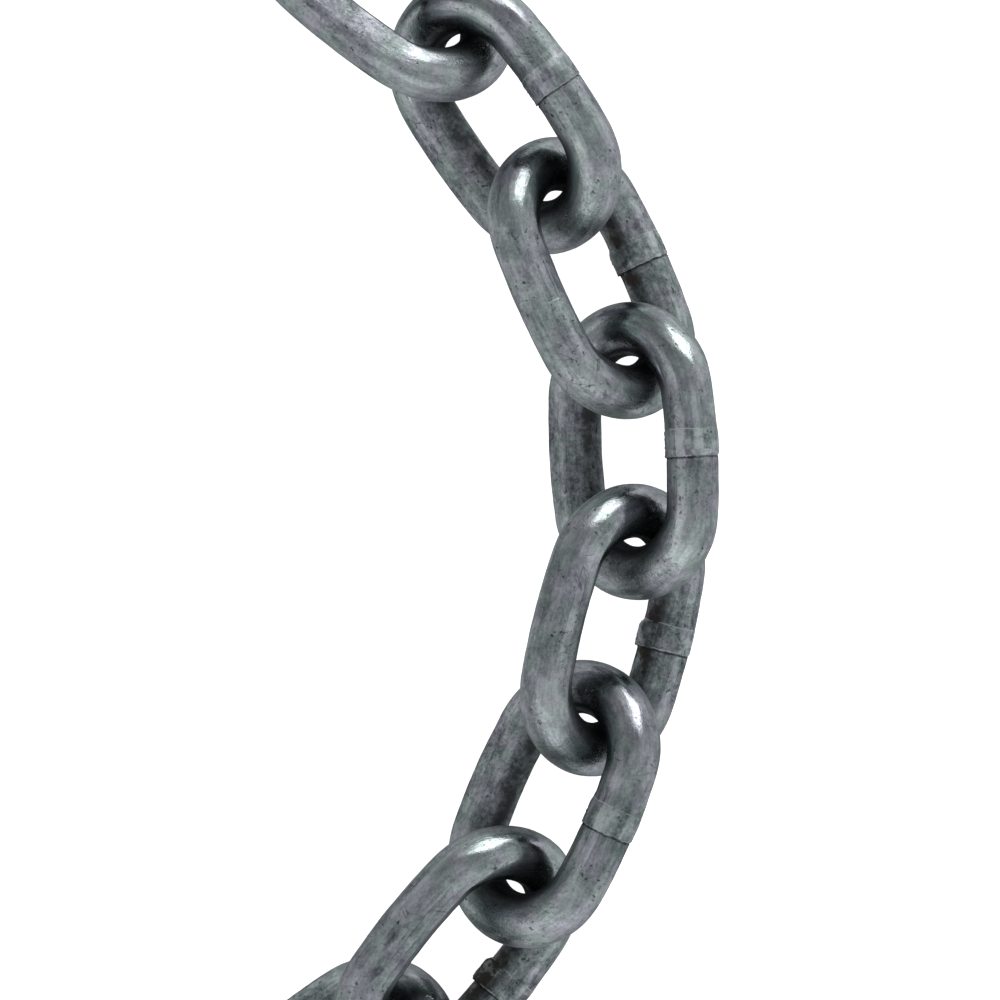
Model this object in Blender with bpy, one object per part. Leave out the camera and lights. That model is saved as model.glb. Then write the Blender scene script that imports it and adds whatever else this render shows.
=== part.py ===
# Length of welded steel chain, laid in a loose horseshoe bend on level ground.
# Metres, +Z up. The ground is z = 0 and the origin is under the middle of the footprint.
# Each link is its own closed ring, threaded through its two neighbours and touching nothing else.

import math

import bmesh
import bpy
from mathutils import Matrix, Vector

# One link: a round bar bent to an oval and butt-welded in the middle of one long side
BAR_DIAMETER = 0.0072
INSIDE_LENGTH = 0.0254          # the pitch of the chain: 12 links to the foot
INSIDE_WIDTH = 0.0127
BOW_ROUNDNESS = 0.966           # radius of an end bow over half the width, both on the bar's centreline
WELD_LENGTH = 0.0036            # the collar that is left when the weld's flash is trimmed
WELD_RISE = 0.00015             # how far the collar stands above the bar
WELD_SHOULDER = 0.0002          # length of the step at each end of the collar
FLAT_LENGTH = 0.0048            # straight stretch in the middle of the side without a weld

# Faceting of a link
SECTION_SIDES = 8
BOW_SEGMENTS = 8

# How the chain lies, in degrees. A heading is 0 along -Y and grows toward +X.
# The bend shows eight links: heading and lean of each, from the top of the picture down.
BEND = [(52, 40), (35, 41), (24, 40.5), (3, 41.5), (-14, 40.5), (-24, 40), (-39, 36), (-52, 38)]
ARM_LINKS = 14                  # links that run on from each end of the bend: 36 in all, a 3 ft length
ARM_END_HEADING = 90            # the arms end side by side, along X
ARM_LEAN = 40
SWAY = 1.5                      # small unevenness of the arms' headings and leans
SWAY_STEP = 2.4                 # radians of sway from one link to the next

# How two links hang in each other
PLAY_STRAIGHT = 0.0006          # what a straight joint falls short of the pitch
PLAY_PER_DEGREE = 0.00003       # and what each degree of turn adds to that
SIDE_STEP = 0.0002              # each link lies this much nearer the inside of the bend

STEEL_COLOUR = (0.115, 0.125, 0.145, 1.0)
STEEL_ROUGHNESS = 0.42

HALF_LENGTH = (INSIDE_LENGTH + BAR_DIAMETER) / 2        # of the bar's centreline
HALF_WIDTH = (INSIDE_WIDTH + BAR_DIAMETER) / 2
BOW_RADIUS = BOW_ROUNDNESS * HALF_WIDTH
BOW_CENTRE = HALF_LENGTH - BOW_RADIUS


def clear_scene():
    for thing in list(bpy.data.objects):
        bpy.data.objects.remove(thing, do_unlink=True)


def steel():
    material = bpy.data.materials.new("self_coloured_steel")
    material.use_nodes = True
    shader = material.node_tree.nodes["Principled BSDF"]
    shader.inputs["Base Color"].default_value = STEEL_COLOUR
    shader.inputs["Metallic"].default_value = 1.0
    shader.inputs["Roughness"].default_value = STEEL_ROUGHNESS
    return material


def side_radius():
    """The long sides bulge a little: their centreline is an arc that runs smoothly into both bows."""
    return (BOW_CENTRE ** 2 + HALF_WIDTH ** 2 - BOW_RADIUS ** 2) / (2 * (HALF_WIDTH - BOW_RADIUS))


def bow_stations():
    """Points, outward directions and bar radii round the bow at +X, from the -Y side to the +Y side."""
    reach = math.atan2(side_radius() - HALF_WIDTH, BOW_CENTRE)
    stations = []
    for step in range(BOW_SEGMENTS + 1):
        angle = reach * (2 * step / BOW_SEGMENTS - 1)
        outward = Vector((math.cos(angle), math.sin(angle), 0))
        stations.append((Vector((BOW_CENTRE, 0, 0)) + BOW_RADIUS * outward, outward, BAR_DIAMETER / 2))
    return stations


def side_stations(places):
    """The same along the +Y side, for a list of (distance from the middle, bar radius)."""
    radius = side_radius()
    centre = Vector((0, HALF_WIDTH - radius, 0))
    stations = []
    for distance, bar_radius in places:
        angle = distance / radius
        outward = Vector((math.sin(angle), math.cos(angle), 0))
        stations.append((centre + radius * outward, outward, bar_radius))
    return stations


def link_stations():
    """Once round the link, anticlockwise: bow, welded side, bow, plain side."""
    plain = BAR_DIAMETER / 2
    collar = plain + WELD_RISE
    near = WELD_LENGTH / 2
    far = near + WELD_SHOULDER
    welded_side = side_stations([(far, plain), (near, collar), (-near, collar), (-far, plain)])
    plain_side = side_stations([(FLAT_LENGTH / 2, plain), (-FLAT_LENGTH / 2, plain)])
    back = [(-point, -outward, bar) for point, outward, bar in bow_stations() + plain_side]
    return bow_stations() + welded_side + back


def link_mesh(name, lean):
    """A link in its own frame: long axis X, welded side +Y. lean is the angle that it will lie at."""
    # With this roll one flat of the section faces the ground where the low side lies on it
    roll = Matrix.Rotation(lean + math.pi / SECTION_SIDES, 4, "Z")
    shape = bmesh.new()
    rings = []
    for point, outward, bar_radius in link_stations():
        up = Vector((0, 0, 1))
        frame = Matrix((outward, up, outward.cross(up))).transposed().to_4x4()
        frame.translation = point
        ring = bmesh.ops.create_circle(shape, segments=SECTION_SIDES, radius=bar_radius, matrix=frame @ roll)
        rings.append({edge for vertex in ring["verts"] for edge in vertex.link_edges})
    for ring, following in zip(rings, rings[1:] + rings[:1]):
        bmesh.ops.bridge_loops(shape, edges=list(ring | following))
    bmesh.ops.recalc_face_normals(shape, faces=shape.faces)
    mesh = bpy.data.meshes.new(name)
    shape.to_mesh(mesh)
    shape.free()
    mesh.shade_smooth()
    mesh.set_sharp_from_angle(angle=math.radians(50))
    return mesh


def lay_of_links():
    """Heading and lean of every link in degrees, from the end of the upper arm to that of the lower."""
    def arm(start, end, phase):
        lay = []
        for step in range(1, ARM_LINKS + 1):
            left_to_turn = (1 - step / ARM_LINKS) ** 2
            sway = SWAY * math.sin(SWAY_STEP * step + phase)
            lay.append((end + (start - end) * left_to_turn + sway, ARM_LEAN + sway))
        return lay

    upper = arm(BEND[0][0], ARM_END_HEADING, 0)
    lower = arm(BEND[-1][0], -ARM_END_HEADING, 1)
    return upper[::-1] + BEND + lower


def link_centres(headings):
    """Centres of the links, each one hung in the link before it."""
    centres = [Vector((0, 0, 0))]
    for before, after in zip(headings, headings[1:]):
        pitch = INSIDE_LENGTH - PLAY_STRAIGHT - PLAY_PER_DEGREE * abs(before - after)
        step = Vector((0, 0, 0))
        for heading in (before, after):
            angle = math.radians(heading)
            along = Vector((math.sin(angle), -math.cos(angle), 0))
            inward = Vector((-math.cos(angle), -math.sin(angle), 0))
            step += (pitch * along + SIDE_STEP * inward) / 2
        centres.append(centres[-1] + step)
    return centres


def add_link(number, centre, heading, lean, material, chain):
    """Links lean over by turns: odd numbers have the side inside the bend up, even ones the outer side."""
    lean_angle = math.radians(lean)
    name = f"link_{number:02d}"
    link = bpy.data.objects.new(name, link_mesh(name, lean_angle))
    link.data.materials.append(material)
    turned = Matrix.Rotation(math.radians(heading - 90), 4, "Z")
    tipped = Matrix.Rotation(lean_angle if number % 2 == 0 else -lean_angle, 4, "X")
    pose = turned @ tipped
    # It is set down until its lowest flat meets the ground
    lowest = min((pose @ vertex.co).z for vertex in link.data.vertices)
    link.rotation_euler = pose.to_euler()
    link.location = (centre.x, centre.y, -lowest)
    link.parent = chain
    bpy.context.scene.collection.objects.link(link)
    return link


def centre_on_footprint(chain, links):
    bpy.context.view_layer.update()
    points = [link.matrix_world @ vertex.co for link in links for vertex in link.data.vertices]
    for axis in (0, 1):
        places = [point[axis] for point in points]
        chain.location[axis] = -(min(places) + max(places)) / 2


def main():
    clear_scene()
    material = steel()
    chain = bpy.data.objects.new("chain", None)
    bpy.context.scene.collection.objects.link(chain)
    lay = lay_of_links()
    centres = link_centres([heading for heading, lean in lay])
    links = []
    for number, ((heading, lean), centre) in enumerate(zip(lay, centres), start=1):
        links.append(add_link(number, centre, heading, lean, material, chain))
    centre_on_footprint(chain, links)


main()
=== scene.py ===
# Looks for a length of welded steel chain, laid in a loose bend on a pale floor
import math
import bmesh
import bpy
import numpy as np
from mathutils import Matrix, Vector


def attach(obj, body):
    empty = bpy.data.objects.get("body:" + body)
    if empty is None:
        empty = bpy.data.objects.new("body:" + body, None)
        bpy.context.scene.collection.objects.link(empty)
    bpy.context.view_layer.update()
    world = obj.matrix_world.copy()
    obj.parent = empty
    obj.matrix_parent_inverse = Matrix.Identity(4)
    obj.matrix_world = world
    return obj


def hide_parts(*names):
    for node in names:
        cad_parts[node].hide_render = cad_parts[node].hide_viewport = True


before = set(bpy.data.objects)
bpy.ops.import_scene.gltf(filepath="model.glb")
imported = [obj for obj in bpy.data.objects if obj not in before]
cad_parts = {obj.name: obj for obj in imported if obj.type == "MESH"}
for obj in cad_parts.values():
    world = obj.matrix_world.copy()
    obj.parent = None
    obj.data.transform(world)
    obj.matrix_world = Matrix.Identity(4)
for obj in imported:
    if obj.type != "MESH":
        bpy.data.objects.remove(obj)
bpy.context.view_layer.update()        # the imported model, in metres, ground at z = 0
print("frame loaded:", len(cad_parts), "links")


# Small helpers

def clearSelection():
    bpy.ops.object.select_all(action="DESELECT")


def makeActive(piece):
    clearSelection()
    piece.select_set(True)
    bpy.context.view_layer.objects.active = piece


def editMode(piece, kind="VERT"):
    makeActive(piece)
    bpy.ops.object.mode_set(mode="EDIT")
    bpy.context.tool_settings.mesh_select_mode = (kind == "VERT", kind == "EDGE", kind == "FACE")


def objectMode():
    bpy.ops.object.mode_set(mode="OBJECT")


def pickVertices(piece, test):
    shape = bmesh.from_edit_mesh(piece.data)
    for vertex in shape.verts:
        vertex.select_set(test(vertex.co))
    shape.select_flush_mode()
    bmesh.update_edit_mesh(piece.data)


def pickFaces(piece, test):
    shape = bmesh.from_edit_mesh(piece.data)
    for face in shape.faces:
        face.select_set(False)
    for face in shape.faces:
        if test(face.calc_center_median()):
            face.select_set(True)
    bmesh.update_edit_mesh(piece.data)


def smoothStep(value, low, high):
    share = min(1, max(0, (value - low) / (high - low)))
    return share * share * (3 - 2 * share)


# One link in its own frame: long axis X, welded side +Y, flat in Z = 0
barLink = {
    "barRadius": 0.0036,
    "halfLength": 0.0163,          # of the bar's centreline
    "halfWidth": 0.00995,
    "bowRoundness": 0.966,         # bow radius over half the width
    "sectionPoints": 64,
    "bowSteps": 46,
    "plainSideSteps": 24,
    "collarSteps": 6,              # the welded side, from the weld to a bow
    "grooveSteps": 3,
    "shoulderSteps": 9,
    "mergeWithin": 0.00001,
    "weldBulge": 0.000075,         # the collar moves the middle of a CAD link this much toward its weld
}

# Forming leaves flats along both sides. Degrees round the bar, from and to: 0 is outward, 90 is up.
flats = {
    "weldedSide": [(24, 69), (69, 88), (102, 160), (166, 196), (230, 275), (300, 342)],
    "plainSide": [(23, 42), (42, 100), (100, 163), (166, 194), (235, 280), (305, 345)],
    "roundness": 0.12,             # 0 would be quite flat, 1 leaves the bar round
    "fullTo": 0.0075,              # they run out round the bows
    "goneAt": 0.0135,
}

# The butt weld in the middle of the +Y side
weld = {
    "collarFrom": -0.0012,         # the trimmed collar is full from here
    "collarEnd": 0.0018,
    "collarRise": 0.00013,
    "collarSlope": [(-0.0016, -0.0012, 0.7), (-0.0023, -0.0016, 0.3)],       # from, to, share of the rise
    "grooveEnd": 0.00205,
    "grooveDepth": 0.0001,
    "edge": (0.0017, 0.0021),      # the ragged edge of the collar
    "margin": 0.00002,             # so that the last ring counts
    "sideFrom": 0.003,             # all beyond this Y is the welded side
    "reach": 0.0024,               # what slides along the bar with the weld
    "slideOut": 0.0045,            # and how far from there it fades out
    # Where the weld sits along the bar: the photo shows six, the rest follow a rule
    "shift": {16: 0.0, 17: -0.001, 18: -0.00065, 19: -0.0006, 20: -0.0017, 21: -0.0004},
    "otherShift": 0.0007,
    "shiftTurn": 2.4,              # radians from one link to the next
}

# Flash that the trimming tool didn't reach, on the inside of the link
flash = {
    "offset": 0.0003,              # from the weld
    "halfLength": 0.0019,
    "fromAngle": 160,              # round the bar: 0 is outward, 90 is up
    "toAngle": 246,
    "trimmedReach": 14,            # on trimmed links it starts this much higher up
    "slope": 0.00024,              # width of its sloping edge
    "height": 0.00019,
    "lift": 0.0003,                # and more where it faces the opposite side of the link
    "liftFrom": 178,
    "liftToward": 205,
    "liftHalfLength": 0.001,
    "liftOut": 0.0011,             # this much further it runs out
    "ragged": 0.00012,
    "evenAngle": 6,                # the foot of the slope stays even
    "evenLength": 0.0002,
    "seed": 50,
    "share": {17: 0.55, 19: 0.85, 21: 1.1},        # as the photo shows
    "otherShare": 0.8,
    "trimmedShare": 0.14,          # what is left of it on every other link
    "dark": [21],                  # scorched right over
}

barRadius = barLink["barRadius"]
halfWidth = barLink["halfWidth"]
bowRadius = barLink["bowRoundness"] * halfWidth
bowCentre = barLink["halfLength"] - bowRadius
sideRadius = (bowCentre ** 2 + halfWidth ** 2 - bowRadius ** 2) / (2 * (halfWidth - bowRadius))
sideReach = math.atan2(bowCentre, sideRadius - halfWidth)        # half the arc of a long side
bowTurn = math.pi - 2 * sideReach
sideLength = 2 * sideReach * sideRadius
bowLength = bowTurn * bowRadius


def angleRound(outward, up):
    # Degrees round the bar, -180 to 180: 0 is outward, 90 is up
    return math.degrees(math.atan2(up, outward))


def placeOnBar(point):
    # Distance along the centreline from the weld, clockwise, then outward and upward from the centreline
    x, y, z = point
    side = 1 if y > 0 else -1
    sideCentre = Vector((0, side * (halfWidth - sideRadius)))
    fromSide = Vector((x, y)) - sideCentre
    turn = math.atan2(x, side * fromSide.y)
    if abs(turn) <= sideReach:
        outward = fromSide.length - sideRadius
        along = turn * sideRadius if side > 0 else sideLength + bowLength - turn * sideRadius
        if side > 0 and along < 0:
            along += 2 * (sideLength + bowLength)
    else:
        end = 1 if x > 0 else -1
        fromBow = Vector((x - end * bowCentre, y))
        outward = fromBow.length - bowRadius
        angle = math.atan2(end * fromBow.x, end * fromBow.y)        # from the start of this bow, clockwise
        along = sideLength / 2 + (angle - sideReach) * bowRadius
        if end < 0:
            along += sideLength + bowLength
    return along, outward, z


def outDirection(point):
    # Outward from the centreline in the plane of the link
    side = 1 if point.y > 0 else -1
    fromSide = point - Vector((0, side * (halfWidth - sideRadius)))
    if abs(math.atan2(point.x, side * fromSide.y)) <= sideReach:
        return fromSide.normalized()
    end = 1 if point.x > 0 else -1
    return (point - Vector((end * bowCentre, 0))).normalized()


def spinBar(steps, angle, centreX, centreY):
    bpy.ops.mesh.spin(steps=steps, angle=angle, center=(centreX, centreY, 0), axis=(0, 0, 1))


def buildMasterLink():
    clearSelection()
    bpy.ops.mesh.primitive_circle_add(vertices=barLink["sectionPoints"], radius=barRadius,
                                      fill_type="NOTHING", location=(0, halfWidth, 0),
                                      rotation=(0, math.pi / 2, 0))
    link = bpy.context.object
    link.name = "masterLink"
    bpy.ops.object.transform_apply()
    editMode(link)
    bpy.ops.mesh.select_all(action="SELECT")
    # Once round, from the middle of the weld
    toCollarEnd = weld["collarEnd"] / sideRadius
    toGrooveEnd = weld["grooveEnd"] / sideRadius
    halfSide = [(barLink["collarSteps"], toCollarEnd), (barLink["grooveSteps"], toGrooveEnd - toCollarEnd),
                (barLink["shoulderSteps"], sideReach - toGrooveEnd)]
    for steps, angle in halfSide:
        spinBar(steps, angle, 0, halfWidth - sideRadius)
    spinBar(barLink["bowSteps"], bowTurn, bowCentre, 0)
    spinBar(barLink["plainSideSteps"], 2 * sideReach, 0, sideRadius - halfWidth)
    spinBar(barLink["bowSteps"], bowTurn, -bowCentre, 0)
    for steps, angle in reversed(halfSide):
        spinBar(steps, angle, 0, halfWidth - sideRadius)
    bpy.ops.mesh.select_all(action="SELECT")
    bpy.ops.mesh.remove_doubles(threshold=barLink["mergeWithin"])
    bpy.ops.mesh.normals_make_consistent(inside=False)
    formFlats(link)
    shapeWeld(link)
    objectMode()
    return link


def formFlats(link):
    shape = bmesh.from_edit_mesh(link.data)
    for vertex in shape.verts:
        along, outward, up = placeOnBar(vertex.co)
        angle = angleRound(outward, up) % 360
        strength = 1 - smoothStep(abs(vertex.co.x), flats["fullTo"], flats["goneAt"])
        for start, end in flats["weldedSide" if vertex.co.y > 0 else "plainSide"]:
            half = math.radians(end - start) / 2
            middle = math.radians((start + end) / 2)
            off = math.radians(angle - (start + end) / 2)
            if abs(off) < half:
                chord = barRadius * math.cos(half)
                height = barRadius * math.cos(off)
                drop = (1 - flats["roundness"]) * (height - chord) * strength
                # The point moves in square to the flat, partly in the plane of the link and partly up or down
                toward = outDirection(Vector((vertex.co.x, vertex.co.y)))
                vertex.co.x -= toward.x * drop * math.cos(middle)
                vertex.co.y -= toward.y * drop * math.cos(middle)
                vertex.co.z = up - drop * math.sin(middle)
                break
    bmesh.update_edit_mesh(link.data)


def shapeWeld(link):
    collarEnd = weld["collarEnd"]
    ringGap = (weld["grooveEnd"] - collarEnd) / barLink["grooveSteps"]

    def fatten(low, high, rise):
        pickVertices(link, lambda point: point.y > weld["sideFrom"] and low < point.x < high)
        bpy.ops.transform.shrink_fatten(value=rise)

    # Collar: a sharp step with a groove toward the next link, a gentle slope toward the last one
    fatten(weld["collarFrom"], collarEnd + weld["margin"], weld["collarRise"])
    for low, high, share in weld["collarSlope"]:
        fatten(low, high, weld["collarRise"] * share)
    # The groove takes the first ring after the collar, and half as deep the second
    fatten(collarEnd + 0.5 * ringGap, collarEnd + 1.5 * ringGap, -weld["grooveDepth"])
    fatten(collarEnd + 1.5 * ringGap, collarEnd + 2.5 * ringGap, -weld["grooveDepth"] / 2)


def weldShift(number):
    return weld["shift"].get(number, weld["otherShift"] * (math.sin(weld["shiftTurn"] * number) - 1))


def raggedEdge(link, number):
    # The edge of the weld's collar is ragged, each time in its own way
    low, high = weld["edge"]
    editMode(link)
    pickVertices(link, lambda point: point.y > weld["sideFrom"] and low < point.x < high)
    bpy.ops.transform.vertex_random(offset=unevenness["stepRagged"], uniform=0, normal=0, seed=number)
    objectMode()


def slideWeld(link, number):
    # No two welds sit at quite the same place
    editMode(link)
    pickVertices(link, lambda point: point.y > weld["sideFrom"] and abs(point.x) < weld["reach"])
    bpy.ops.transform.translate(value=(weldShift(number), 0, 0), use_proportional_edit=True,
                                proportional_edit_falloff="SMOOTH", proportional_size=weld["slideOut"])
    objectMode()


def raiseFlash(link, number):
    trimmed = number % 2 == 0
    share = flash["trimmedShare"] if trimmed else flash["share"].get(number, flash["otherShare"])
    fromAngle = flash["fromAngle"] - (flash["trimmedReach"] if trimmed else 0)
    middle = weldShift(number) + flash["offset"]

    def onFlash(point, lowAngle, halfLength):
        along, outward, up = placeOnBar(point)
        angle = angleRound(outward, up) % 360
        return point.y > 0 and abs(point.x - middle) < halfLength and lowAngle < angle < flash["toAngle"]

    editMode(link, "FACE")
    pickFaces(link, lambda point: onFlash(point, fromAngle, flash["halfLength"]))
    bpy.ops.mesh.inset(thickness=flash["slope"], depth=share * flash["height"])
    # Part of it stands out further
    shape = bmesh.from_edit_mesh(link.data)
    for face in shape.faces:
        if face.select and not onFlash(face.calc_center_median(), flash["liftFrom"], flash["liftHalfLength"]):
            face.select_set(False)
    bmesh.update_edit_mesh(link.data)
    toward = math.radians(flash["liftToward"])
    bpy.ops.transform.translate(value=share * flash["lift"] * Vector((0, math.cos(toward), math.sin(toward))),
                                use_proportional_edit=True, proportional_edit_falloff="SMOOTH",
                                proportional_size=flash["liftOut"])
    roughFrom = fromAngle + flash["evenAngle"]
    roughLength = flash["halfLength"] - flash["evenLength"]
    pickFaces(link, lambda point: onFlash(point, roughFrom, roughLength))
    bpy.ops.transform.vertex_random(offset=flash["ragged"], uniform=0, normal=0, seed=number + flash["seed"])
    objectMode()


# The sunk field of a stamp, left bare
stamp = {
    "link": "link_17",
    "from": -0.0066,               # along the plain side
    "to": 0.0016,
    "angle": 74,                   # round the bar
    "halfAngle": 19,
    "wall": 0.00018,
    "depth": 0.00014,
}


def stampRecess(link):
    def inside(point):
        along, outward, up = placeOnBar(point)
        off = abs(angleRound(outward, up) - stamp["angle"])
        return point.y < 0 and stamp["from"] < point.x < stamp["to"] and off < stamp["halfAngle"]

    editMode(link, "FACE")
    pickFaces(link, inside)
    bpy.ops.mesh.inset(thickness=stamp["wall"], depth=-stamp["depth"])
    shape = bmesh.from_edit_mesh(link.data)
    shape.faces.index_update()
    sunk = [face for face in shape.faces if face.select]
    sunkNumbers = {face.index for face in sunk}
    walls = {near.index for face in sunk for edge in face.edges for near in edge.link_faces} - sunkNumbers
    objectMode()
    # wallWear: the walls of the recess are rubbed bright
    wallWear = [float(face.index in walls) for face in link.data.polygons]
    storeMask(link.data, "wallWear", wallWear, "FLOAT", "FACE")


# Differences from link to link
unevenness = {
    "dentSize": 0.0034,
    "dentDetail": 2,
    "dentDepth": 0.00012,
    "ripSize": 0.0011,
    "ripDetail": 1,
    "ripDepth": 0.000035,
    "stepRagged": 0.0001,          # the edge of the weld's collar
    "linkTone": 0.05,              # some links have come out lighter than others
    "linkToneTurn": 0.6,           # radians from one link to the next
    "lightestLink": 16,
    "raisedSeam": 67,              # degrees round the bar to the first line between two flats
    "lowSeam": 88,
    "leadingBowRub": 0.62,         # the bow toward the next link is rubbed less than the other
    "leadingBowSootAndShade": (0.05, 0.82),        # soot with painted shade inside a bow: it starts and is full this far toward the hole
    "otherBowSootAndShade": (0.25, 0.95),
    "patternShift": 0.15,          # metres between two links' places in the streak pattern
    "smoothAngle": 32,
}

# Round the bar, in degrees: painted light and shade on the flats of a leg, how much lighter or darker each
# one comes out
flatLightRound = {
    "raisedSide": [(0, 0), (18, 0.05), (40, -0.01), (64, -0.01), (69, 0.15), (84, 0.15), (89, -0.03),
                   (112, -0.03), (135, -0.08), (205, 0), (360, 0)],
    "lowSide": [(0, 0.08), (85, 0.08), (89, 0.19), (104, 0.19), (109, 0.03), (128, 0.02), (145, -0.06),
                (205, 0), (360, 0.08)],
}

# Where each mask starts and stops changing, in metres from the middle or the weld, or degrees round the bar
zones = {
    "bow": (0.0055, 0.0105),
    "sootAndShadeBow": (0.006, 0.0105),
    "leg": (0.0085, 0.0135),
    "rawSkin": (0.006, 0.0115),
    "rubRises": (-5, 30),
    "rubFalls": (150, 175),
    "shadeAndGrimeRises": (136, 162),
    "shadeAndGrimeFalls": (172, 206),
    "scorchRises": (148, 176),
    "scorchFalls": (215, 250),
    "scorchAlong": (0.003, 0.0065),
    "proud": 0.0001,               # what stands this far above the bar is the weld's flash or collar
    "scorchOnFlash": 0.35,
    "scorchOnDarkFlash": 2,
    "shadeAndGrimeOnFlash": 0.25,
    "farFromWeld": 9,              # in half lengths of the collar
}


def rises(value, zone):
    return smoothStep(value, *zones[zone])


def falls(value, zone):
    return 1 - smoothStep(value, *zones[zone])


def toneAt(angle, steps):
    for (start, startTone), (end, endTone) in zip(steps, steps[1:]):
        if angle <= end:
            return startTone + (endTone - startTone) * smoothStep(angle, start, end)
    return 0


def storeMask(mesh, name, values, kind="FLOAT_VECTOR", domain="POINT"):
    made = mesh.attributes.new(name, kind, domain)
    made.data.foreach_set("vector" if kind == "FLOAT_VECTOR" else "value", values)


def storePatternPlaces(mesh, places, number):
    # barPlace: along, outward and up, for streaks that follow the bar
    wholeWay = 2 * (sideLength + bowLength)
    barPlace = []
    for face in mesh.polygons:
        alongs = [places[index][0] for index in face.vertices]
        crossesStart = max(alongs) - min(alongs) > wholeWay / 2
        for index in face.vertices:
            along, outward, up = places[index]
            if crossesStart and along < wholeWay / 2:
                along += wholeWay
            barPlace += [along + number * unevenness["patternShift"], outward, up]
    storeMask(mesh, "barPlace", barPlace, domain="CORNER")


def storeMasks(mesh, number):
    # linkZones: bow, soot with painted shade inside a bow, distance from the weld in half lengths of its
    # collar
    # rubbed: how far a bow is rubbed smooth
    # legZones: painted light and shade of the flats, painted shade with grime on the side toward the hole,
    # scorched skin round the weld
    # linkTone: this link's own tone, raw skin on the low side, angle of the first line between two flats
    places = [placeOnBar(vertex.co) for vertex in mesh.vertices]
    storePatternPlaces(mesh, places, number)
    toneTurn = unevenness["linkToneTurn"] * (number - unevenness["lightestLink"])
    ownTone = unevenness["linkTone"] * math.cos(toneTurn)
    farOff = zones["farFromWeld"]
    linkZones, rubbed, legZones, linkTone = [], [], [], []
    for vertex, (along, outward, up) in zip(mesh.vertices, places):
        fromMiddle = abs(vertex.co.x)
        fromWeld = vertex.co.x - weldShift(number)
        leading = vertex.co.x > 0
        welded = vertex.co.y > 0
        raised = welded == (number % 2 == 0)
        angle = angleRound(outward, up)

        bow = rises(fromMiddle, "bow")
        # Soot with painted shade inside the bows, deepest toward the hole
        sootAndShadeReach = unevenness["leadingBowSootAndShade" if leading else "otherBowSootAndShade"]
        bowSootAndShade = smoothStep(-outward / barRadius, *sootAndShadeReach) * rises(fromMiddle, "sootAndShadeBow")
        weldPlace = fromWeld / weld["collarEnd"] if welded else farOff
        linkZones += [bow, bowSootAndShade, max(-farOff, min(farOff, weldPlace))]
        rub = unevenness["leadingBowRub"] if leading else 1
        rubbed.append(rub * bow * rises(angle, "rubRises") * falls(angle, "rubFalls"))

        angle %= 360
        leg = falls(fromMiddle, "leg")
        # Painted shade with grime in it, on the side of the bar toward the hole
        shadeAndGrime = rises(angle, "shadeAndGrimeRises") * falls(angle, "shadeAndGrimeFalls")
        scorch = rises(angle, "scorchRises") * falls(angle, "scorchFalls") if welded else 0
        scorch *= falls(abs(fromWeld), "scorchAlong")
        if math.hypot(outward, up) > barRadius + zones["proud"]:
            scorch *= zones["scorchOnDarkFlash" if number in flash["dark"] else "scorchOnFlash"]
            shadeAndGrime *= zones["shadeAndGrimeOnFlash"]
        # Painted light and shade round the leg: lighter strips, darker toward the hole
        flatLightAndShade = toneAt(angle, flatLightRound["raisedSide" if raised else "lowSide"])
        legZones += [leg * flatLightAndShade, leg * shadeAndGrime, scorch]
        rawSkin = 0 if raised else falls(fromMiddle, "rawSkin")
        linkTone += [ownTone, rawSkin, math.radians(unevenness["raisedSeam" if raised else "lowSeam"])]
    storeMask(mesh, "linkZones", linkZones)
    storeMask(mesh, "rubbed", rubbed, "FLOAT")
    storeMask(mesh, "legZones", legZones)
    storeMask(mesh, "linkTone", linkTone)


def cloudTexture(name, size, depth):
    texture = bpy.data.textures.new(name, type="CLOUDS")
    texture.noise_scale = size
    texture.noise_depth = depth
    texture.noise_basis = "BLENDER_ORIGINAL"
    return texture


def displace(piece, texture, strength):
    modifier = piece.modifiers.new("unevenness", "DISPLACE")
    modifier.texture = texture
    modifier.texture_coords = "LOCAL"
    modifier.strength = strength
    modifier.mid_level = 0.5
    bpy.ops.object.modifier_apply(modifier=modifier.name)


def cadPlaces():
    # Name, middle, long axis and normal of every CAD link, from its own mesh
    found = []
    for name in sorted(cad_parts):
        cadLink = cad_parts[name]
        points = np.array([cadLink.matrix_world @ vertex.co for vertex in cadLink.data.vertices])
        points = np.unique(np.round(points, 7), axis=0)
        axes = np.linalg.eigh(np.cov((points - points.mean(0)).T))[1]
        normal, width, long = (Vector(axes[:, column]) for column in range(3))
        middle = Vector((0, 0, 0))
        for axis in (normal, width, long):
            reach = points @ np.array(axis)
            middle += axis * float(reach.min() + reach.max()) / 2
        found.append([name, middle, long, normal])
    # The long axis points to the next link, and the normal up
    for index, item in enumerate(found):
        ahead = found[min(index + 1, len(found) - 1)][1]
        behind = found[max(index - 1, 0)][1]
        if item[2].dot(ahead - behind) < 0:
            item[2] = -item[2]
        if item[3].z < 0:
            item[3] = -item[3]
    return found


# Steel

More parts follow.
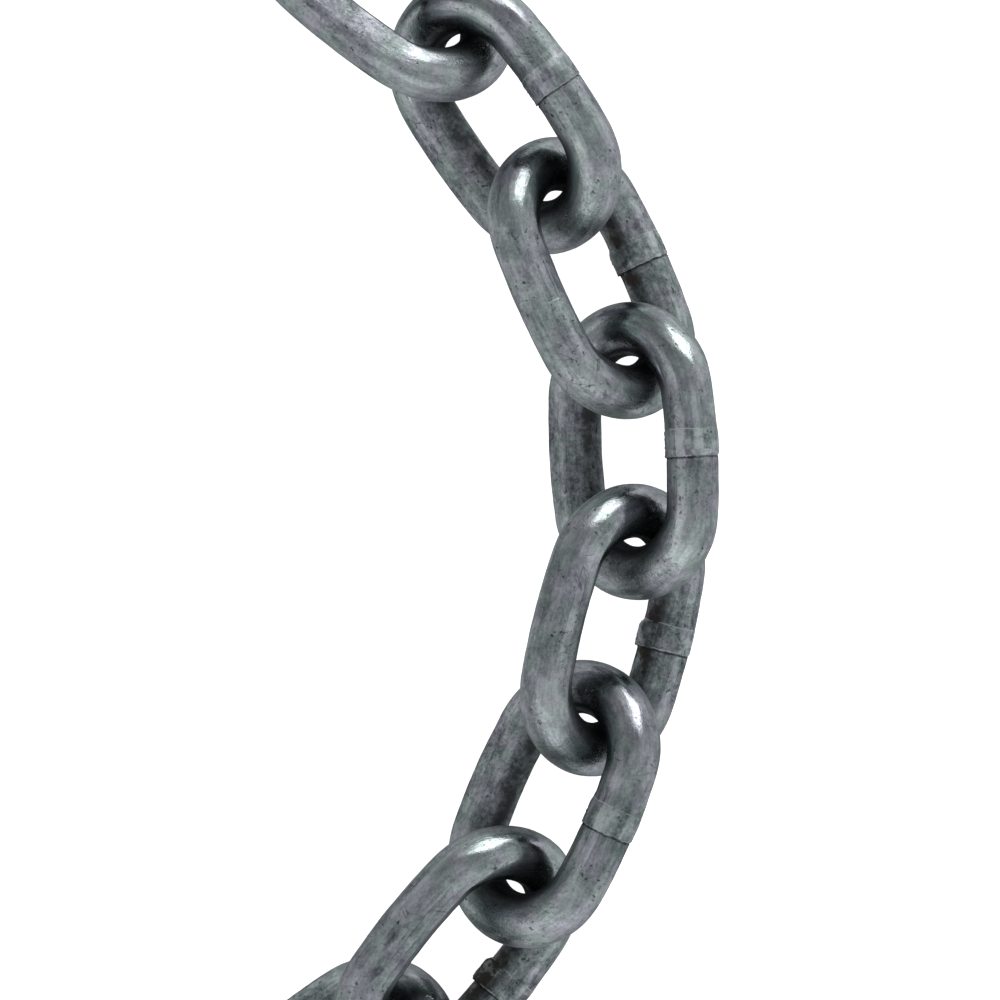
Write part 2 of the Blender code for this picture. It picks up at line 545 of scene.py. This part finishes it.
# Noise is given by scale, detail and roughness, and drawn noise by a scale along the bar and one across it.
# A range is from and to, and then what these two become where that isn't 0 and 1.
steelLook = {
    "toneStops": [(0.0, (0.07, 0.078, 0.085, 1)), (0.3, (0.19, 0.208, 0.218, 1)),
                  (0.55, (0.3, 0.322, 0.332, 1)), (1.0, (0.56, 0.585, 0.595, 1))],
    "violetCast": (1.004, 0.972, 1.042, 1),
    "greenCast": (0.944, 1.028, 0.984, 1),
    "hueNoise": (210, 4, 0.6),
    "hues": (0.4, 0.6),
    "edgeTint": (0.6, 0.61, 0.62, 1),
    # How much each pattern moves the tone
    "toneShares": {"Cloud": 0.27, "Band": 0.13, "Broad": 0.215, "Fine": 0.165, "Grain": 0.205},
    "rawStreaks": 0.85,            # on raw skin the streaks are weaker, and it is speckled
    "rawSpeckle": 0.3,
    "darkerNearFloor": (0.002, 0.012, -0.12, 0.02),      # darker toward the floor, by height
    "laneNoise": (190, 30, 2, 0.5),        # the flats' painted light and shade shows here and there
    "flatLightLanes": (0.35, 0.65, 0.5, 1.7),
    "collarTone": (0.45, 0.7, 0.06, 0.22),         # by the cloud pattern
    "bowTone": 0.12,
    "facetShare": 0.22,
    "wallTone": 0.4,               # the walls of the stamp's field
    "heatTone": -0.05,             # beside the weld
    # What lies on the steel, with painted shade and a painted highlight: their colour, and how much they
    # cover
    "darkOfMarksAndShade": (0.012, 0.014, 0.016, 1),
    "shadeAndGrime": (0.07, 0.076, 0.077, 1),
    "scorch": (0.07, 0.061, 0.056, 1),
    "shadeAndGrimePatches": (0.1, 0.9, 1, 0.55),
    "scorchPatches": (0.2, 0.8, 1, 0.2),
    # How far each goes toward the dark colour: specks, scratches and soot, and painted shade in the bows, the
    # weld's groove and the seams
    "darkening": {"Specks": 0.75, "Scratches": 0.5, "GrooveShadow": 0.6, "SeamShade": 0.42, "SootAndShade": 0.8},
    "collarEdgeShare": 0.75,
    # Gloss
    "sideRoughness": 0.53,
    "bowRoughness": 0.155,
    "roughByCloud": (0.05, -0.05),
    "roughByGrain": (0.06, -0.03),
    "roughByMarksAndShade": {"Specks": 0.2, "SootAndShade": 0.2, "ShadeAndGrime": 0.15},
    # Relief, in metres at full height, and the share of each pattern in it
    "relief": 0.0001,
    "reliefShares": {"Broad": 0.4, "Fine": 0.16, "Cloud": 0.2, "Grain": 0.14, "Specks": -0.5},
    "reliefRubbed": 0.3,
    "reliefUnderSootAndShade": (0, 0.5, 1, 0),
    "scratchDepth": 0.03,
}


def node(tree, kind, x, y, label=None, **settings):
    made = tree.nodes.new(kind)
    made.location = (x, y)
    if label:
        made.label = label
    for key, value in settings.items():
        setattr(made, key, value)
    return made


def noise(tree, x, y, vector, scale, detail, rough, label=None):
    made = node(tree, "ShaderNodeTexNoise", x, y, label)
    made.inputs["Scale"].default_value = scale
    made.inputs["Detail"].default_value = detail
    made.inputs["Roughness"].default_value = rough
    tree.links.new(vector, made.inputs["Vector"])
    return made.outputs["Fac"]


def drawnNoise(tree, x, y, place, along, across, detail, rough, label=None):
    # Noise that is drawn out along the bar
    stretched = node(tree, "ShaderNodeVectorMath", x - 200, y, operation="MULTIPLY")
    stretched.inputs[1].default_value = (along, across, across)
    tree.links.new(place, stretched.inputs[0])
    return noise(tree, x, y, stretched.outputs["Vector"], 1.0, detail, rough, label)


def remap(tree, x, y, value, fromMin, fromMax, toMin=0.0, toMax=1.0, label=None):
    made = node(tree, "ShaderNodeMapRange", x, y, label, interpolation_type="SMOOTHSTEP")
    for socket, number in zip(("From Min", "From Max", "To Min", "To Max"), (fromMin, fromMax, toMin, toMax)):
        made.inputs[socket].default_value = number
    tree.links.new(value, made.inputs["Value"])
    return made.outputs["Result"]


def math2(tree, x, y, operation, first, second=0.0):
    made = node(tree, "ShaderNodeMath", x, y, operation=operation)
    for socket, value in zip(made.inputs, (first, second)):
        if isinstance(value, (int, float)):
            socket.default_value = value
        else:
            tree.links.new(value, socket)
    return made.outputs["Value"]


def awayFrom(tree, x, y, value, middle):
    # How far one value is from another, whichever way
    return math2(tree, x + 150, y, "ABSOLUTE", math2(tree, x, y, "SUBTRACT", value, middle))


def mixColour(tree, x, y, share, first, second, label=None, blend="MIX"):
    made = node(tree, "ShaderNodeMix", x, y, label, data_type="RGBA", blend_type=blend)
    for socket, value in ((made.inputs[0], share), (made.inputs[6], first), (made.inputs[7], second)):
        if isinstance(value, (int, float, tuple)):
            socket.default_value = value
        else:
            tree.links.new(value, socket)
    return made.outputs[2]


def readMask(tree, x, y, name, output="Vector"):
    return node(tree, "ShaderNodeAttribute", x, y, name, attribute_name=name).outputs[output]


def splitParts(tree, x, y, vector):
    parts = node(tree, "ShaderNodeSeparateXYZ", x, y)
    tree.links.new(vector, parts.inputs[0])
    return parts.outputs


def newGroup(name, places, numbers, masks):
    # Places are its vector inputs, numbers the others, and masks what it puts out
    group = bpy.data.node_groups.new(name, "ShaderNodeTree")
    for label in places:
        group.interface.new_socket(name=label, in_out="INPUT", socket_type="NodeSocketVector")
    for label in numbers:
        group.interface.new_socket(name=label, in_out="INPUT", socket_type="NodeSocketFloat")
    for label in masks:
        group.interface.new_socket(name=label, in_out="OUTPUT", socket_type="NodeSocketFloat")
    entry = node(group, "NodeGroupInput", -1100, 0)
    leave = node(group, "NodeGroupOutput", 1300, 0)
    return group, entry.outputs, leave.inputs


# Long drawn bands and short hairlines: drawn noise, and the range of it that is kept
streakLook = {
    "Band": ((26, 560, 1, 0.5), (0.43, 0.57)),
    "Broad": ((230, 800, 4, 0.62), (0.32, 0.68)),
    "Fine": ((700, 2500, 3, 0.65), (0.32, 0.68)),
}


def barStreaks():
    group, entry, leave = newGroup("barStreaks", ["Place"], [], list(streakLook))
    for row, (name, (settings, kept)) in enumerate(streakLook.items()):
        y = 500 - 300 * row
        streak = drawnNoise(group, -300, y, entry["Place"], *settings, name)
        group.links.new(remap(group, 200, y, streak, *kept), leave[name])
    return group


# Patches and grain: noise, and the range of it that is kept
skinLook = {
    "Cloud": ((330, 6, 0.68), (0.3, 0.7)),
    "Grain": ((2300, 4, 0.7), (0.3, 0.7)),
    "Speckle": ((1250, 3, 0.7), (0.36, 0.64)),
    "hollows": ((1500, 3, 0.6), (0.58, 0.7)),
    "whereHollowsGather": ((240, 2, 0.5), (0.42, 0.62)),
}


def millSkin():
    # Specks are where scale has left small hollows
    group, entry, leave = newGroup("millSkin", ["Spot"], [], ["Cloud", "Grain", "Speckle", "Specks"])
    patterns = {}
    for row, (name, (settings, kept)) in enumerate(skinLook.items()):
        y = 600 - 300 * row
        pattern = noise(group, -300, y, entry["Spot"], *settings, name)
        patterns[name] = remap(group, 100, y, pattern, *kept)
    for name in ("Cloud", "Grain", "Speckle"):
        group.links.new(patterns[name], leave[name])
    specks = math2(group, 350, -450, "MULTIPLY", patterns["hollows"], patterns["whereHollowsGather"])
    group.links.new(specks, leave["Specks"])
    return group


scratchLook = {
    # Of each set: its slant, its scale along and across, and the noise of its gaps
    "sets": [(0.75, 95, 900, (190, 2, 0.5)), (-1.05, 130, 1100, (250, 2, 0.5))],
    "tilt": 0.3,
    "deepScale": 260,
    "waveNoise": (1, 1, 0.4),
    "line": (0.003, 0.018),
    "few": (0.62, 0.68),
}


def scratchMarks():
    # Thin slanting scratches, here and there
    group, entry, leave = newGroup("scratchMarks", ["Place"], [], ["Scratches"])
    sets = []
    for row, (slant, along, across, gapNoise) in enumerate(scratchLook["sets"]):
        y = 300 - 500 * row
        turned = node(group, "ShaderNodeMapping", -700, y, "slanted", vector_type="TEXTURE")
        turned.inputs["Rotation"].default_value = (0, scratchLook["tilt"], slant)
        turned.inputs["Scale"].default_value = (1 / along, 1 / across, 1 / scratchLook["deepScale"])
        group.links.new(entry["Place"], turned.inputs["Vector"])
        waves = noise(group, -450, y, turned.outputs["Vector"], *scratchLook["waveNoise"])
        line = remap(group, 100, y, awayFrom(group, -250, y, waves, 0.5), *scratchLook["line"], 1, 0)
        few = noise(group, -450, y - 220, entry["Place"], *gapNoise)
        few = remap(group, 100, y - 220, few, *scratchLook["few"])
        sets.append(math2(group, 350, y, "MULTIPLY", line, few))
    group.links.new(math2(group, 600, 0, "MAXIMUM", sets[0], sets[1]), leave["Scratches"])
    return group


seamLook = {
    "flatWidth": 0.36,             # radians round the bar from one line to the next
    "wanderNoise": (200, 0, 2, 0.5),
    "wander": (0.3, 0.7, -0.03, 0.03),
    "line": (0.006, 0.036),
    "gapNoise": [(330, 60, 3, 0.6), (270, 60, 3, 0.6)],        # along the first line and along the second
    "gaps": (0.4, 0.6),
    "facetScale": 110,
    "facetStep": 7.3,              # how far apart two flats lie in their pattern
    "facetNoise": (1, 2, 0.55),
    "facets": (0.4, 0.6),
}


def flatSeams():
    # Thin broken lines of painted shade along a leg where two of its flats meet, and a tone for each flat
    group, entry, leave = newGroup("flatSeams", ["Place"], ["First angle"], ["SeamShade", "Facets"])
    flatWidth = seamLook["flatWidth"]
    along, outward, up = splitParts(group, -850, 200, entry["Place"])
    angle = math2(group, -600, 200, "ARCTAN2", up, outward)
    wander = drawnNoise(group, -600, -100, entry["Place"], *seamLook["wanderNoise"])
    wander = remap(group, -400, -100, wander, *seamLook["wander"])
    angle = math2(group, -200, 200, "ADD", angle, wander)
    lines = []
    for row, gapNoise in enumerate(seamLook["gapNoise"]):
        y = 500 - 500 * row
        seam = math2(group, 0, y, "ADD", entry["First angle"], row * flatWidth)
        line = remap(group, 500, y, awayFrom(group, 150, y, angle, seam), *seamLook["line"], 1, 0)
        gaps = drawnNoise(group, 200, y - 200, entry["Place"], *gapNoise)
        gaps = remap(group, 500, y - 200, gaps, *seamLook["gaps"])
        lines.append(math2(group, 700, y, "MULTIPLY", line, gaps))
    group.links.new(math2(group, 900, 250, "MAXIMUM", lines[0], lines[1]), leave["SeamShade"])
    # Each flat is a little lighter or darker than the next one, and changes along the bar
    turned = math2(group, 0, -800, "SUBTRACT", angle, entry["First angle"])
    which = math2(group, 300, -800, "FLOOR", math2(group, 150, -800, "DIVIDE", turned, flatWidth))
    onFlat = node(group, "ShaderNodeCombineXYZ", 600, -800)
    group.links.new(math2(group, 450, -950, "MULTIPLY", along, seamLook["facetScale"]), onFlat.inputs["X"])
    group.links.new(math2(group, 450, -800, "MULTIPLY", which, seamLook["facetStep"]), onFlat.inputs["Y"])
    facets = noise(group, 750, -800, onFlat.outputs[0], *seamLook["facetNoise"])
    group.links.new(remap(group, 950, -800, facets, *seamLook["facets"]), leave["Facets"])
    return group


# Distances from the weld, in half lengths of its collar
weldLook = {
    "wanderNoise": (900, 3, 0.6),
    "wander": (0.3, 0.7, -0.05, 0.05),
    "groovePlace": 1.09,
    "groove": (0.03, 0.12),
    "edgePlace": 0.98,
    "edge": (0.01, 0.06),
    "edgeGapNoise": (420, 2, 0.5),
    "edgeGaps": (0.4, 0.55),
    "heat": (1.2, 2.8),
    "collar": (0.96, 1.04),
}


def weldLines():
    # Painted shadow in the groove and a painted highlight on the edge at the end of the collar, and the skin
    # that the heat has changed
    group, entry, leave = newGroup("weldLines", ["Spot"], ["Weld place"],
                                   ["GrooveShadow", "EdgeHighlight", "Heat", "Collar"])
    wander = noise(group, -850, -200, entry["Spot"], *weldLook["wanderNoise"])
    wander = remap(group, -650, -200, wander, *weldLook["wander"])
    across = math2(group, -450, 0, "ADD", entry["Weld place"], wander)
    fromWeld = math2(group, -250, -200, "ABSOLUTE", across)
    fromGroove = awayFrom(group, -250, 200, across, weldLook["groovePlace"])
    fromEdge = awayFrom(group, -50, 0, fromWeld, weldLook["edgePlace"])
    gaps = noise(group, -250, 450, entry["Spot"], *weldLook["edgeGapNoise"])
    gaps = remap(group, 250, 450, gaps, *weldLook["edgeGaps"])
    edge = remap(group, 300, 0, fromEdge, *weldLook["edge"], 1, 0)
    # Painted shadow in the groove, painted highlight on the collar's edge
    group.links.new(remap(group, 300, 200, fromGroove, *weldLook["groove"], 1, 0), leave["GrooveShadow"])
    group.links.new(math2(group, 550, 0, "MULTIPLY", edge, gaps), leave["EdgeHighlight"])
    group.links.new(remap(group, 300, -250, fromWeld, *weldLook["heat"], 1, 0), leave["Heat"])
    group.links.new(remap(group, 300, -500, fromWeld, *weldLook["collar"], 1, 0), leave["Collar"])
    return group


def wornSteel():
    material = bpy.data.materials.new("wornSteel")
    material.use_nodes = True
    tree = material.node_tree
    links = tree.links
    shader = tree.nodes["Principled BSDF"]
    shader.location = (4600, 0)
    tree.nodes["Material Output"].location = (4900, 0)
    shader.inputs["Metallic"].default_value = 1.0
    shader.inputs["Specular Tint"].default_value = steelLook["edgeTint"]

    spot = node(tree, "ShaderNodeTexCoord", -1800, 600).outputs["Object"]
    place = readMask(tree, -1800, 0, "barPlace")
    bow, bowSootAndShade, weldPlace = splitParts(tree, -1550, -300, readMask(tree, -1800, -300, "linkZones"))
    flatLightAndShade, shadeAndGrime, scorch = splitParts(tree, -1550, -550, readMask(tree, -1800, -550, "legZones"))
    ownTone, rawSkin, seamAngle = splitParts(tree, -1550, -800, readMask(tree, -1800, -800, "linkTone"))
    rubbed = readMask(tree, -1800, -1050, "rubbed", "Fac")
    wallWear = readMask(tree, -1800, -1300, "wallWear", "Fac")
    height = splitParts(tree, -1550, 1200, spot)["Z"]

    # Soot with painted shade in the bows; painted shade with grime on the hole side
    masks = {"SootAndShade": bowSootAndShade, "ShadeAndGrime": shadeAndGrime}
    groups = [(millSkin, {"Spot": spot}), (barStreaks, {"Place": place}), (scratchMarks, {"Place": place}),
              (weldLines, {"Spot": spot, "Weld place": weldPlace}),
              (flatSeams, {"Place": place, "First angle": seamAngle})]
    for row, (makeGroup, sources) in enumerate(groups):
        group = node(tree, "ShaderNodeGroup", -1200, 600 - 300 * row, node_tree=makeGroup())
        for name, source in sources.items():
            links.new(source, group.inputs[name])
        masks.update({socket.name: socket for socket in group.outputs})
    offBow = remap(tree, -900, -900, bow, 0, 1, 1, 0)
    # Painted shade lines where the flats meet, kept off the bows
    masks["SeamShade"] = math2(tree, -650, -800, "MULTIPLY", masks["SeamShade"], offBow)
    facets = math2(tree, -850, -1200, "SUBTRACT", masks["Facets"], 0.5)
    facets = math2(tree, -650, -1200, "MULTIPLY", facets, offBow)

    # Tone: every pattern lifts or lowers it about the middle
    tone = 0.0
    for column, (name, share) in enumerate(steelLook["toneShares"].items()):
        x = -600 + 200 * column
        swing = math2(tree, x, 150, "SUBTRACT", masks[name], 0.5)
        swing = math2(tree, x, 300, "MULTIPLY", swing, share)
        tone = math2(tree, x + 50, 450, "ADD", tone, swing)
    contrast = remap(tree, 400, 650, rawSkin, 0, 1, 1, steelLook["rawStreaks"])
    tone = math2(tree, 500, 450, "MULTIPLY", tone, contrast)
    tone = math2(tree, 650, 450, "ADD", tone, 0.5)

    speckle = math2(tree, 600, 850, "SUBTRACT", masks["Speckle"], 0.5)
    lowSkin = math2(tree, 600, 1000, "MULTIPLY", rawSkin, steelLook["rawSpeckle"])
    # Darker near the floor, by height
    darkerNearFloor = remap(tree, 600, 1200, height, *steelLook["darkerNearFloor"], "darker near the floor")
    # Where the flats' painted light and shade shows
    flatLightLanes = drawnNoise(tree, 400, 1450, place, *steelLook["laneNoise"], "where the flats show")
    flatLightLanes = remap(tree, 600, 1450, flatLightLanes, *steelLook["flatLightLanes"])
    mottled = remap(tree, 600, 1700, masks["Cloud"], *steelLook["collarTone"], "the collar is mottled")
    changes = [(speckle, lowSkin), (darkerNearFloor, 1), (flatLightAndShade, flatLightLanes), (masks["Collar"], mottled),
               (bow, steelLook["bowTone"]), (ownTone, 1), (facets, steelLook["facetShare"]),
               (wallWear, steelLook["wallTone"]), (masks["Heat"], steelLook["heatTone"])]
    for column, (mask, share) in enumerate(changes):
        x = 900 + 180 * column
        tone = math2(tree, x + 50, 450, "ADD", tone, math2(tree, x, 650, "MULTIPLY", mask, share))
    ramp = node(tree, "ShaderNodeValToRGB", 2600, 450)
    stops = ramp.color_ramp.elements
    while len(stops) < len(steelLook["toneStops"]):
        stops.new(0.5)
    for stop, (position, colour) in zip(stops, steelLook["toneStops"]):
        stop.position = position
        stop.color = colour
    links.new(tone, ramp.inputs["Fac"])

    # Colour, and what lies on it
    hue = noise(tree, 2400, 900, spot, *steelLook["hueNoise"], "hue drift")
    hue = remap(tree, 2600, 900, hue, *steelLook["hues"])
    cast = mixColour(tree, 2800, 750, hue, steelLook["greenCast"], steelLook["violetCast"])
    colour = mixColour(tree, 3000, 500, 1.0, ramp.outputs["Color"], cast, "cast", "MULTIPLY")
    # Painted shade with grime on the hole side, and scorch round the weld, each in patches
    for column, (mask, overlay) in enumerate([(shadeAndGrime, "shadeAndGrime"), (scorch, "scorch")]):
        x = 3150 + 180 * column
        patches = remap(tree, x, 1000, masks["Cloud"], *steelLook[overlay + "Patches"], overlay + " in patches")
        share = math2(tree, x, 750, "MULTIPLY", mask, patches)
        colour = mixColour(tree, x, 500, share, colour, steelLook[overlay])
    # Toward the dark colour: specks, scratches and soot, and painted shade
    for column, (name, share) in enumerate(steelLook["darkening"].items()):
        x = 3510 + 180 * column
        share = math2(tree, x, 750, "MULTIPLY", masks[name], share)
        colour = mixColour(tree, x, 500, share, colour, steelLook["darkOfMarksAndShade"], name)
    # Painted highlight along the edge of the collar
    share = math2(tree, 4400, 750, "MULTIPLY", masks["EdgeHighlight"], steelLook["collarEdgeShare"])
    colour = mixColour(tree, 4400, 500, share, colour, steelLook["toneStops"][-1][1], "bright edge")
    links.new(colour, shader.inputs["Base Color"])

    # Roughness: rubbed bright round the bows, duller along the sides
    rough = remap(tree, 0, 0, rubbed, 0, 1, steelLook["sideRoughness"], steelLook["bowRoughness"])
    changes = [remap(tree, 200, -200, masks["Cloud"], 0, 1, *steelLook["roughByCloud"]),
               remap(tree, 400, -200, masks["Grain"], 0, 1, *steelLook["roughByGrain"])]
    for column, (name, share) in enumerate(steelLook["roughByMarksAndShade"].items()):
        changes.append(math2(tree, 600 + 200 * column, -200, "MULTIPLY", masks[name], share))
    for column, change in enumerate(changes):
        rough = math2(tree, 300 + 200 * column, 0, "ADD", rough, change)
    links.new(rough, shader.inputs["Roughness"])

    # Relief, most of it gone where the bows are rubbed smooth
    relief = 0.0
    for column, (name, share) in enumerate(steelLook["reliefShares"].items()):
        x = 200 * column
        part = math2(tree, x, -700, "MULTIPLY", masks[name], share)
        relief = math2(tree, x + 50, -500, "ADD", relief, part)
    smoothed = remap(tree, 1000, -700, rubbed, 0, 1, 1, steelLook["reliefRubbed"])
    relief = math2(tree, 1200, -500, "MULTIPLY", relief, smoothed)
    scratched = math2(tree, 1200, -700, "MULTIPLY", masks["Scratches"], steelLook["scratchDepth"])
    relief = math2(tree, 1400, -500, "SUBTRACT", relief, scratched)
    # Relief fades under the soot and painted shade
    outsideSootAndShade = remap(tree, 1400, -700, bowSootAndShade, *steelLook["reliefUnderSootAndShade"])
    relief = math2(tree, 1600, -500, "MULTIPLY", relief, outsideSootAndShade)
    bump = node(tree, "ShaderNodeBump", 1800, -500)
    bump.inputs["Strength"].default_value = 1.0
    bump.inputs["Distance"].default_value = steelLook["relief"]
    links.new(relief, bump.inputs["Height"])
    links.new(bump.outputs["Normal"], shader.inputs["Normal"])
    return material


# Links

def dressLink(number, nodeName, middle, long, normal):
    makeActive(master)
    bpy.ops.object.duplicate(linked=False)
    link = bpy.context.object
    link.name = nodeName.replace("link_", "forgedLink")
    link.data.name = link.name
    raggedEdge(link, number)
    slideWeld(link, number)
    raiseFlash(link, number)
    if nodeName == stamp["link"]:
        stampRecess(link)
    storeMasks(link.data, number)
    # Lay it over its CAD link
    width = normal.cross(long)
    turned = Matrix((long, width, normal)).transposed().to_4x4()
    turned.translation = middle - width * barLink["weldBulge"]
    link.matrix_world = turned
    makeActive(link)
    bpy.ops.object.transform_apply()
    displace(link, dents, unevenness["dentDepth"])
    displace(link, rips, unevenness["ripDepth"])
    # Set down on the floor
    lowest = min(vertex.co.z for vertex in link.data.vertices)
    link.location.z = -lowest
    bpy.ops.object.transform_apply()
    bpy.ops.object.shade_smooth_by_angle(angle=math.radians(unevenness["smoothAngle"]))
    link.data.materials.clear()
    link.data.materials.append(steel)
    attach(link, "root")
    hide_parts(nodeName)


steel = wornSteel()
print("steel material ready")
master = buildMasterLink()
dents = cloudTexture("dents", unevenness["dentSize"], unevenness["dentDetail"])
rips = cloudTexture("rips", unevenness["ripSize"], unevenness["ripDetail"])
print("master link:", len(master.data.polygons), "faces")
for number, cadPlace in enumerate(cadPlaces(), start=1):
    dressLink(number, *cadPlace)
bpy.data.objects.remove(master, do_unlink=True)
print("links placed")


# Floor, light and camera

studio = {
    "aim": (0.17282, 0.00211, 0.01),       # middle of the picture
    "cameraHeight": 0.4,
    "pictureWidth": 0.13338,               # what the picture spans, in metres
    "filmWidth": 36,
    "viewEnd": 50,
    "floorSize": 12,
    "floorDrop": 0.0002,                   # it lies just under the links
    "floorColour": (0.8, 0.8, 0.8, 1),
    "floorRoughness": 0.9,
    "floorGloss": 0.1,
    "floorGlow": 0.2,
    "floorSeenGlow": 0.8,                  # more where the camera looks at it, so that it comes out white
    "airColour": (0.96, 0.98, 1, 1),
    "airBearing": 135,                     # the air is lighter on this side of the picture
    "airDark": 0.32,
    "airLight": 0.7,
    "backdrop": 0.92,                      # how bright the air looks to the camera
}

# Bearing clockwise from the top of the picture, angle from the zenith, distance, width, height, brightness
softboxes = {
    "keyWindow": (21, 66, 2.0, 1.2, 1.4, 2.15),
    "keySurround": (12, 62, 2.3, 2.4, 1.5, 0.4),
    "lowerFill": (200, 56, 2.2, 3.0, 1.3, 0.4),
    "leftFill": (260, 54, 2.2, 1.6, 1.3, 0.4),
}


def addFloor():
    clearSelection()
    bpy.ops.mesh.primitive_plane_add(size=studio["floorSize"], location=(0, 0, -studio["floorDrop"]))
    floor = bpy.context.object
    floor.name = "floor"
    bpy.ops.object.transform_apply()
    material = bpy.data.materials.new("paleFloor")
    material.use_nodes = True
    tree = material.node_tree
    shader = tree.nodes["Principled BSDF"]
    shader.inputs["Base Color"].default_value = studio["floorColour"]
    shader.inputs["Roughness"].default_value = studio["floorRoughness"]
    shader.inputs["Specular IOR Level"].default_value = studio["floorGloss"]
    shader.inputs["Emission Color"].default_value = (1, 1, 1, 1)
    rays = node(tree, "ShaderNodeLightPath", -600, 0)
    glow = math2(tree, -450, 0, "MULTIPLY", rays.outputs["Is Camera Ray"], studio["floorSeenGlow"])
    glow = math2(tree, -300, 0, "ADD", glow, studio["floorGlow"])
    tree.links.new(glow, shader.inputs["Emission Strength"])
    floor.data.materials.append(material)


def addSoftbox(name, bearing, fromZenith, distance, width, height, brightness):
    aim = Vector(studio["aim"])
    side, up = math.radians(bearing), math.radians(fromZenith)
    away = Vector((math.sin(side) * math.sin(up), math.cos(side) * math.sin(up), math.cos(up)))
    clearSelection()
    bpy.ops.object.light_add(type="AREA", location=aim + distance * away)
    light = bpy.context.object
    light.name = name
    light.rotation_euler = away.to_track_quat("Z", "Y").to_euler()
    light.data.shape = "RECTANGLE"
    light.data.size = width
    light.data.size_y = height
    light.data.energy = brightness * math.pi * width * height
    light.visible_camera = False


def addAir():
    # Soft light from all round, a little darker toward the picture's upper left. The camera sees it pale.
    world = bpy.data.worlds.new("studioAir")
    world.use_nodes = True
    tree = world.node_tree
    background = tree.nodes["Background"]
    background.inputs["Color"].default_value = studio["airColour"]
    direction = node(tree, "ShaderNodeTexCoord", -1200, 0).outputs["Generated"]
    bearing = math.radians(studio["airBearing"])
    lean = node(tree, "ShaderNodeVectorMath", -950, 0, operation="DOT_PRODUCT")
    tree.links.new(direction, lean.inputs[0])
    lean.inputs[1].default_value = (math.sin(bearing), math.cos(bearing), 0)
    air = remap(tree, -700, 0, lean.outputs["Value"], -1, 1, studio["airDark"], studio["airLight"])
    rays = node(tree, "ShaderNodeLightPath", -700, 300)
    seen = node(tree, "ShaderNodeMix", -350, 0, data_type="FLOAT")
    tree.links.new(rays.outputs["Is Camera Ray"], seen.inputs[0])
    tree.links.new(air, seen.inputs[2])
    seen.inputs[3].default_value = studio["backdrop"]
    tree.links.new(seen.outputs[0], background.inputs["Strength"])
    bpy.context.scene.world = world


def addCamera():
    aim = Vector(studio["aim"])
    fromAim = studio["cameraHeight"] - aim.z
    clearSelection()
    bpy.ops.object.camera_add(location=(aim.x, aim.y, studio["cameraHeight"]), rotation=(0, 0, 0))
    camera = bpy.context.object
    camera.name = "camera"
    camera.data.sensor_width = studio["filmWidth"]
    camera.data.lens = studio["filmWidth"] * fromAim / studio["pictureWidth"]
    camera.data.clip_end = studio["viewEnd"]
    camera.data.dof.use_dof = False
    bpy.context.scene.camera = camera


addFloor()
for name, numbers in softboxes.items():
    addSoftbox(name, *numbers)
addAir()
addCamera()
bpy.context.scene.view_settings.view_transform = "Standard"
print("floor, light and camera ready")
